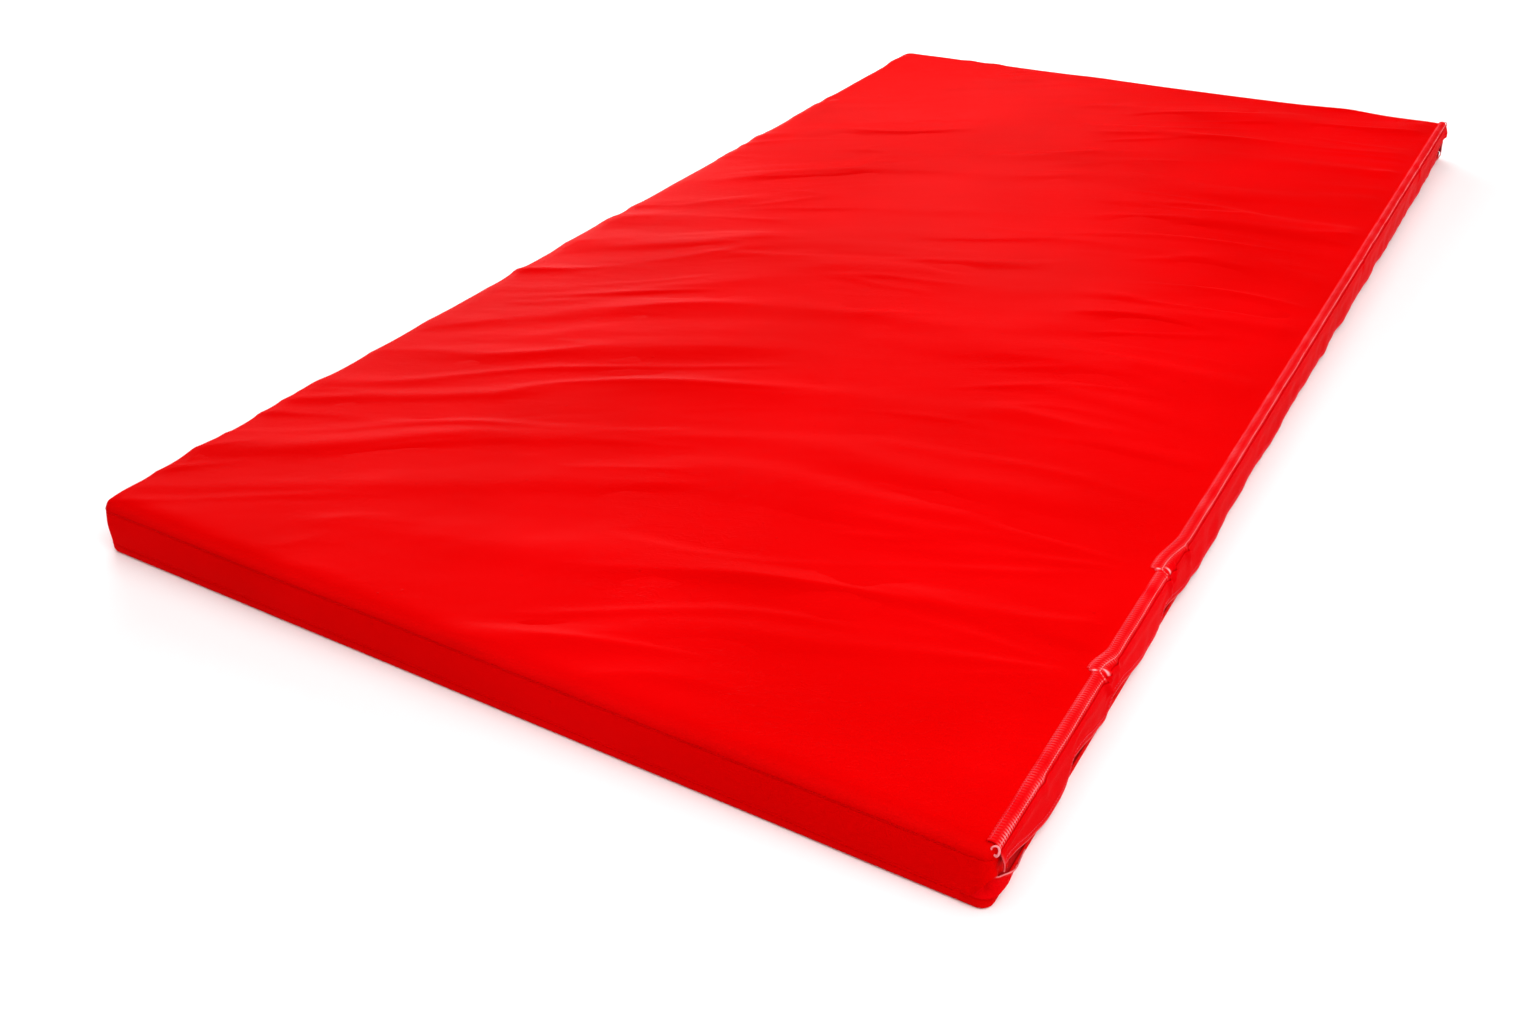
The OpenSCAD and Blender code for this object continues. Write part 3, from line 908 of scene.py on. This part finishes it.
def make_end_loops():
    """The band's two ends are rolled back on themselves into a small open loop at each corner."""
    turn = np.linspace(0, 2 * math.pi, 36, endpoint=False)
    round_tube = np.linspace(0, 2 * math.pi, 10, endpoint=False)
    for name, end in (("band_end_loop_front", -1), ("band_end_loop_rear", 1)):
        reach = np.stack([3.1 * MM * np.cos(turn), 0.7 * MM * np.sin(2 * turn), 4.6 * MM * np.sin(turn)], -1)
        middle = np.array([SIDE_X - 1.8 * MM, end * (BAND_Y + 2.4 * MM), TOP_Z - 4.6 * MM])
        away = unit(reach)
        thick = (0.85 + 0.2 * np.cos(turn + 0.8))[:, None, None] * MM
        along = np.cos(round_tube)[None, :, None] * away[:, None]
        tube = along + np.sin(round_tube)[None, :, None] * np.array([0.0, 1.0, 0.0])
        rings = middle + reach[:, None] + thick * tube
        faces = quads(len(turn) + 1, 10, wrap=True)
        total = len(turn) * 10
        faces = [[k % total for k in face] for face in faces]
        # Painted highlight: each loop is coloured pale pink all over, standing in for the light on its tight
        # curves.
        wear_and_highlight = np.full(total, 0.75, np.float32)
        piece = recalculate(mesh_object(name, rings.reshape(-1, 3), faces, wear_and_highlight))
        dress(piece, VINYL_BAND)


# ------------------------------------------------------------------ flap
FLAP_TOP_Z = TOP_Z - ZIP_EDGE_R - 0.2 * MM
FLAP_U = BAND_FLAT + BAND_ARC


# Where the flap's lower edge is nipped up: place along the mat, height, run back down
NIPS = ((-0.83, 20 * MM, 45 * MM), (-0.73, 19 * MM, 50 * MM), (-0.58, 15 * MM, 50 * MM))


def flap_foot(y):
    """Height of the flap's lower edge: uneven, nipped up at three places and lifted at both ends."""
    waves = 4.0 * MM * lattice_noise(y / 0.07, 0 * y + 5, 41)
    waves = waves + 1.4 * MM * lattice_noise(y / 0.03, 0 * y, 42)
    lifted = 30 * MM * (1 - smooth((BAND_Y - np.abs(y)) / (105 * MM)))
    foot = FLAP_LOW.z + 1.5 * MM + waves + lifted
    for place, height, run in NIPS:
        off = y - place
        foot = foot + height * np.where(off < 0, bell(off, 9 * MM), bell(off, run))
    return np.clip(foot, 2.5 * MM, None)


def flap_billow(y, v):
    """How far the flap's outer side stands out from its place against the cover."""
    pillow = 1.5 * MM * bell(v - 0.22, 0.16) * (0.7 + 0.5 * lattice_noise(y / 0.06, 0 * y, 43))
    sway = 1.9 * MM * (1 + lattice_noise(y / 0.085, 0.6 * v, 44)) * smooth(1.3 * v)
    ripple = 0.8 * MM * lattice_noise(y / 0.028, 1.5 * v + 9, 45) * smooth(2 * v)
    end = BAND_Y - np.abs(y)
    calm = 0.35 + 0.65 * smooth((end - 50 * MM) / (60 * MM))
    lifted_end = 3.0 * MM * bell(end, 7 * MM) * smooth((v - 0.1) / 0.5)
    return pillow + (sway + ripple) * calm + lifted_end


def flap_points(y, v):
    z = FLAP_TOP_Z + (flap_foot(y) - FLAP_TOP_Z) * v
    fold = pleats(y, FLAP_U + FLAP_TOP_Z - z)
    x = FLAP_HIGH.x + np.clip(flap_billow(y, v) + fold, -0.1 * MM, None)
    return np.stack([x, y, z], -1)


def bend_with_flap(piece):
    """Bakes the piece's placement into its points."""
    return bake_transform(piece)


def make_flap():
    y, v = np.meshgrid(spaced(-BAND_Y, BAND_Y, 2 * MM), np.linspace(0, 1, 26), indexing="ij")
    # Painted highlight: the flap's lower edge and its two ends are coloured pale pink, standing in for the
    # light caught there.
    ends = bell(BAND_Y - np.abs(y), 1.5 * MM)
    wear_and_highlight = 0.42 * smooth((v - 0.955) / 0.045) + 0.25 * ends * smooth(2 * v)
    piece = ribbon("zip_flap_cloth", flap_points(y, v), CLOTH, wear_and_highlight)
    dress(piece, VINYL_BAND, body=None, nodes=["zip_flap"])
    bend_with_flap(piece)


def make_hem():
    """The flap's lower edge, folded back up on its inner side."""
    height = HEM_HIGH.z - HEM_LOW.z
    y, w = np.meshgrid(spaced(-BAND_Y, BAND_Y, 2 * MM), np.linspace(0, 1, 6), indexing="ij")
    length = FLAP_TOP_Z - flap_foot(y)
    outer = flap_points(y, 1 - (1 - w) * height / length)
    outer += grid_normals(outer) * (CLOTH + 0.05 * MM)
    outer[..., 2] = np.maximum(outer[..., 2], 0.8 * MM)
    piece = ribbon("flap_hem_fold", outer, 0.85 * CLOTH, 0.5 * w)
    dress(piece, BACKING, body=None, nodes=["flap_hem"])
    bend_with_flap(piece)


# ------------------------------------------------------------------ strips to the zip
def section_strip(node, corners, seed):
    """Strip of cloth along the zip, through the given places across the mat and heights.

    Beyond the ends of the zip the two strips come together.
    """
    edge_x = STRIP_UP_HIGH.x
    corners = np.array(corners)
    lengths = run_along(corners)
    along = np.linspace(0, lengths[-1], 15)
    x = np.interp(along, lengths, corners[:, 0])
    z = np.interp(along, lengths, corners[:, 1])
    for _ in range(3):
        x[1:-1] = 0.25 * x[:-2] + 0.5 * x[1:-1] + 0.25 * x[2:]
        z[1:-1] = 0.25 * z[:-2] + 0.5 * z[1:-1] + 0.25 * z[2:]
    run = STRIP_UP_HIGH.y
    y, place = np.meshgrid(spaced(-run, run, 6 * MM), np.arange(15), indexing="ij")
    share = place / 14
    wave = 0.7 * MM * lattice_noise(y / 0.07, share * 1.5, seed) * np.sin(math.pi * share)
    at_zip = 0 if abs(x[0] - edge_x) > abs(x[-1] - edge_x) else -1
    closing = smooth((np.abs(y) - ZIP_END) / (10 * MM)) * (share if at_zip else 1 - share)
    height = z[place] + closing * (ZIP_Z - z[at_zip])
    points = np.stack([x[place] + wave, y, height], -1)
    piece = ribbon(node + "_cloth", points, CLOTH, 0.3 * share)
    dress(piece, BACKING, nodes=[node])


def make_strips():
    half = 0.5 * CLOTH
    edge_x = STRIP_UP_HIGH.x
    zip_x = STRIP_UP_LOW.x + CLOTH
    upper = [(edge_x, STRIP_UP_HIGH.z - half), (edge_x, 54 * MM), (zip_x, 45 * MM),
             (zip_x, STRIP_UP_LOW.z + half)]
    lower = [(zip_x, STRIP_DOWN_HIGH.z - half), (zip_x, 17 * MM), (edge_x, 10.5 * MM),
             (edge_x, STRIP_DOWN_LOW.z + half)]
    section_strip("zip_strip_upper", upper, 51)
    section_strip("zip_strip_lower", lower, 52)


# ------------------------------------------------------------------ stitching
def stitches(name, node, line, outs, pitch, length, radius, material, body="mat"):
    """A row of sewn stitches: each one is a short arched length of thread over the cloth."""
    run = run_along(line)
    count = int((run[-1] - length) / pitch)
    centres = 0.5 * length + pitch * np.arange(count)
    shares = np.array([-0.5, -0.36, -0.12, 0.12, 0.36, 0.5])
    rises = np.array([-1.0, 0.1, 0.8, 0.8, 0.1, -1.0]) * radius
    sizes = np.array([0.5, 0.9, 1.0, 1.0, 0.9, 0.5]) * radius
    at = centres[:, None] + shares * length
    place = np.stack([np.interp(at, run, line[:, k]) for k in range(3)], -1)
    out = unit(np.stack([np.interp(at, run, outs[:, k]) for k in range(3)], -1))
    centre = place + out * rises[:, None]
    rings = centre[:, :, None] + circles(np.gradient(place, axis=1), out, 6) * sizes[:, None, None]
    block = 36
    faces = quads(6, 6, wrap=True) + [[5, 4, 3, 2, 1, 0], [30, 31, 32, 33, 34, 35]]
    all_faces = []
    for k in range(count):
        all_faces += [[k * block + i for i in face] for face in faces]
    piece = recalculate(mesh_object(name, rings.reshape(-1, 3), all_faces))
    return dress(piece, material, body, [node])


def make_band_stitches():
    y = spaced(-BAND_Y + 2 * MM, BAND_Y - 2 * MM, 0.8 * MM)
    for part, row, material in (("outer", OUTER_ROW, THREAD_PALE), ("inner", INNER_ROW, THREAD)):
        u = row_place(y, row)
        x, z, out = edge_line(u, band_lift(y, u))
        line = np.stack([x, y, z], -1)
        stitches(f"flap_stitches_{part}", f"flap_thread_{part}", line, out,
                 ROW_PITCH, 2.5 * MM, 0.34 * MM, material)


def make_hem_stitches():
    y = spaced(-BAND_Y + 3 * MM, BAND_Y - 3 * MM, 1 * MM)
    line = flap_points(y, 1 - 6.5 * MM / (FLAP_TOP_Z - flap_foot(y)))
    out = np.tile([1.0, 0.0, 0.0], (len(y), 1))
    piece = stitches("flap_hem_stitches", "flap_hem_thread", line, out,
                     3.6 * MM, 2.7 * MM, 0.32 * MM, THREAD, body=None)
    bend_with_flap(piece)


def make_zip_stitches():
    for part, z in (("upper", 39.5 * MM), ("lower", 20.5 * MM)):
        low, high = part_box(f"zip_thread_{part}")
        y = spaced(low.y, high.y, 4 * MM)
        line = np.stack([0 * y + low.x, y, 0 * y + z], -1)
        out = np.tile([1.0, 0.0, 0.0], (len(y), 1))
        stitches(f"zip_stitches_{part}", f"zip_thread_{part}", line, out,
                 3.2 * MM, 2.4 * MM, 0.3 * MM, THREAD)


def make_seam_stitches():
    """Rows round the front, left and rear sides, one at the top seam and one at the bottom seam."""
    corners = [(SIDE_X - 30 * MM, -HALF_L), (LEFT_X, -HALF_L), (LEFT_X, HALF_L), (SIDE_X - 30 * MM, HALF_L)]
    path, outs = rounded_path(corners, CORNER_R, 3 * MM, 12)
    for part, shift in (("top", 0.6 * MM), ("bottom", -0.4 * MM)):
        low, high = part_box(f"{part}_seam_thread")
        z = 0.5 * (low.z + high.z) + shift
        stand = np.array([float(side_swell(p[0], p[1], z)) for p in path]) + 0.1 * MM
        line = np.column_stack([path + outs * stand[:, None], np.full(len(path), z)])
        out = np.column_stack([outs, np.zeros(len(path))])
        stitches(f"{part}_seam_stitches", f"{part}_seam_thread", line, out,
                 4.2 * MM, 3.3 * MM, 0.17 * MM, THREAD_DEEP)


# ------------------------------------------------------------------ foam
def foam_block(name, node, top_r, bottom_r, cut=None):
    """A foam slab with rounded edges and slightly uneven faces."""
    low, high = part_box(node)
    corners = [(0, low.y), (low.x, low.y), (low.x, high.y), (high.x, high.y), (high.x, low.y), (0, low.y)]
    path = rounded_path(corners, FOAM_CORNER_R, 12 * MM, 6)[0][:-1]
    centre = np.array([(low.x + high.x) / 2, (low.y + high.y) / 2])
    half = np.array([(high.x - low.x) / 2, (high.y - low.y) / 2])
    rings = []

    def ring(inset, z):
        scale = 1 - inset / half
        flat = centre + (path - centre) * scale
        rings.append(np.column_stack([flat, np.full(len(flat), z)]))

    insets = [0.49, 0.44, 0.36, 0.27, 0.18, 0.10, 0.05, 0.02]
    for inset in insets:
        ring(inset, low.z)
    for turn in np.linspace(0, 0.5 * math.pi, 6):
        ring(bottom_r * (1 - math.sin(turn)), low.z + bottom_r * (1 - math.cos(turn)))
    for z in np.linspace(low.z + bottom_r, high.z - top_r, 6)[1:-1]:
        ring(0.0, z)
    for turn in np.linspace(0, 0.5 * math.pi, 6):
        ring(top_r * (1 - math.cos(turn)), high.z - top_r * (1 - math.sin(turn)))
    for inset in insets[::-1]:
        ring(inset, high.z)
    rings = np.array(rings)
    uneven = 0.25 * MM * (lattice_noise(rings[..., 0] / 0.06, rings[..., 1] / 0.06, 61) - 1)
    rings[..., 2] += uneven * (rings[..., 2] - 0.5 * (low.z + high.z)) / (0.5 * (high.z - low.z))
    if cut:
        rings = cut(rings)
    return recalculate(loft(name, rings))


def make_foam():
    low_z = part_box("foam_top_layer")[0].z
    base = foam_block("foam_base_pad", "foam_base_slab", 1 * MM, 7 * MM)
    dress(base, SOFT_FOAM, nodes=["foam_base_slab"])

    def slope(rings):
        x, y, z = rings[..., 0], rings[..., 1], rings[..., 2]
        pull = np.clip((54.6 * MM - z) * 1.13, 0, None)
        sunk = shoulder_drop(x - LEFT_X) + shoulder_drop(HALF_L - np.abs(y))
        share = (z - low_z) / (TOP_Z - CLOTH - low_z)
        rings[..., 2] = z - share * (sunk + 0.5 * MM)
        rings[..., 0] = x - np.where(x > 0.4, pull, 0)
        return rings

    top = foam_block("foam_top_pad", "foam_top_layer", 9 * MM, 0.6 * MM, slope)
    dress(top, FIRM_FOAM, nodes=["foam_top_layer"])


# ------------------------------------------------------------------ zip
def make_tape(node):
    """Woven tape with a corded edge beside the coil."""
    low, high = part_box(node)
    coil_side = -1 if low.z > ZIP_MIDDLE else 1
    y, v = np.meshgrid(spaced(low.y, high.y, 8 * MM), np.linspace(0, 1, 9), indexing="ij")
    z = low.z + (high.z - low.z) * v
    cord = bell((1 - v if coil_side > 0 else v) * (high.z - low.z) - 0.8 * MM, 0.7 * MM)
    wave = 0.08 * MM * lattice_noise(y / 0.02, v * 2, 71)
    points = np.stack([high.x + 0.25 * MM * cord + wave, y, z], -1)
    piece = ribbon(node + "_woven", points[:, ::-1], high.x - low.x)
    dress(piece, TAPE, nodes=[node])


def make_coil(node, phase):
    """Nylon coil: one filament wound along the tape's edge, its turns meeting the other coil's."""
    low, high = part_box(node)
    wire = 0.34 * MM
    pitch = 1.5 * MM
    overlap = 0.35 * MM
    turns = int((high.y - low.y - 2 * wire) / pitch)
    sides = 5
    steps = 8
    t = np.arange(turns * steps + 1) / steps
    angle = 2 * math.pi * (t + phase)
    upper = low.z > ZIP_MIDDLE
    meet = ZIP_MIDDLE - overlap if upper else ZIP_MIDDLE + overlap
    far = high.z if upper else low.z
    middle_z = 0.5 * (meet + far)
    reach_z = 0.5 * abs(far - meet) - wire
    reach_x = 0.5 * (high.x - low.x) - wire
    line = np.column_stack([
        0.5 * (low.x + high.x) + reach_x * np.cos(angle),
        low.y + wire + pitch * (t + 0.5 * phase),
        middle_z + reach_z * np.sin(angle),
    ])
    circle = circles(np.gradient(line, axis=0), [0.0, 1.0, 0.0], sides)
    piece = recalculate(loft(node + "_wound", line[:, None] + wire * circle))
    dress(piece, COIL, nodes=[node])


def finish_cad_metal():
    """The stops, slider, pin and tab keep their CAD shapes, with softened edges and plating."""
    for node in ("zip_bottom_stop", "zip_top_stops", "zip_slider_body", "zip_tab_pin", "zip_pull_tab"):
        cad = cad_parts[node]
        cad.data.materials.clear()
        cad.data.materials.append(PIN_METAL if node == "zip_tab_pin" else METAL)
        weld = cad.modifiers.new("weld", "WELD")
        weld.merge_threshold = 0.01 * MM
        bevel = cad.modifiers.new("bevel", "BEVEL")
        bevel.width = 0.18 * MM
        bevel.segments = 2
        bevel.limit_method = "ANGLE"


# ------------------------------------------------------------------ room, light and camera
def make_floor():
    size, count = 9.0, 60
    x, y = np.meshgrid(np.linspace(-size, size, count), np.linspace(-size, size, count), indexing="ij")
    sweep = 5.0 * np.clip((np.maximum(np.abs(x), np.abs(y)) - 6.5) / 2.5, 0, 1) ** 2.5
    points = np.stack([x, y, sweep - 0.3 * MM], -1).reshape(-1, 3)
    floor = mesh_object("studio_floor", points, quads(count, count))
    n = Nodes("studio_paper")
    slow = n.noise(1.5)
    floor.data.materials.append(n.finish(
        Base_Color=n.mix(slow, (0.93, 0.93, 0.93), (0.96, 0.96, 0.96)),
        Roughness=n.ramp(slow, 0.0, 1.0, 0.85, 0.95),
        Specular_IOR_Level=0.05,
    ))


def area_light(name, place, target, size, power, shape="RECTANGLE", roll=0.0):
    data = bpy.data.lights.new(name, "AREA")
    data.shape = shape
    data.size, data.size_y = size
    data.energy = power
    light = bpy.data.objects.new(name, data)
    light.location = place
    aim = Vector(target) - Vector(place)
    turn = aim.to_track_quat("-Z", "Y") @ Quaternion((0, 0, 1), roll)
    light.rotation_euler = turn.to_euler()
    bpy.context.scene.collection.objects.link(light)


def make_light():
    world = bpy.data.worlds.new("studio")
    world.use_nodes = True
    world.node_tree.nodes["Background"].inputs[0].default_value = (1, 1, 1, 1)
    world.node_tree.nodes["Background"].inputs[1].default_value = 0.12
    bpy.context.scene.world = world
    area_light("key", (1.5, -1.3, 2.0), (0.1, -0.4, 0), (1.6, 1.6), 34)
    area_light("sheen", (-2.7, 1.7, 1.0), (-0.2, -0.2, 0), (3.0, 0.6), 94, "ELLIPSE", math.radians(19))
    area_light("sheen_right", (-1.15, 2.7, 1.1), (0.1, -0.3, 0), (1.5, 0.4), 20, "ELLIPSE")
    area_light("zip_edge", (2.3, 1.9, 0.75), (0.5, -0.6, 0), (1.0, 0.4), 12)
    sun = bpy.data.lights.new("overhead", "SUN")
    sun.energy = 1.68
    sun.angle = math.radians(75)
    bpy.context.scene.collection.objects.link(bpy.data.objects.new("overhead", sun))


# The camera's place, and its turn to the left of +Y, its dip below level and its roll
CAMERA_PLACE = (0.772, -1.836, 0.890)
CAMERA_HEADING = math.radians(33.4)
CAMERA_DIP = math.radians(28.0)
CAMERA_ROLL = math.radians(-1.7)


def make_camera():
    """Camera at the photograph's viewing angle."""
    data = bpy.data.cameras.new("camera")
    camera = bpy.data.objects.new("camera", data)
    bpy.context.scene.collection.objects.link(camera)
    level = Quaternion((0, 0, 1), CAMERA_HEADING) @ Quaternion((1, 0, 0), 0.5 * math.pi - CAMERA_DIP)
    turn = level @ Quaternion((0, 0, 1), CAMERA_ROLL)
    camera.matrix_world = Matrix.Translation(CAMERA_PLACE) @ turn.to_matrix().to_4x4()
    data.sensor_width = 36.0
    data.lens = 36.15
    data.shift_x = 0.065
    data.shift_y = -0.065
    data.clip_start, data.clip_end = 0.05, 60
    bpy.context.scene.camera = camera


# ------------------------------------------------------------------ the scene
bpy.context.scene.view_settings.view_transform = "Standard"
make_camera()
make_light()
make_floor()
make_top_panel(4.7 * MM)
make_bottom_panel(20 * MM)
make_end_wall("front", -1)
make_end_wall("rear", 1)
make_left_wall()
make_gusset("front", -1)
make_gusset("rear", 1)
make_seam_band()
make_end_loops()
make_flap()
make_hem()
make_strips()
make_band_stitches()
make_hem_stitches()
make_zip_stitches()
make_seam_stitches()
make_foam()
make_tape("zip_tape_upper")
make_tape("zip_tape_lower")
make_coil("zip_coil_upper", 0.0)
make_coil("zip_coil_lower", 0.5)
finish_cad_metal()

bpy.context.view_layer.update()
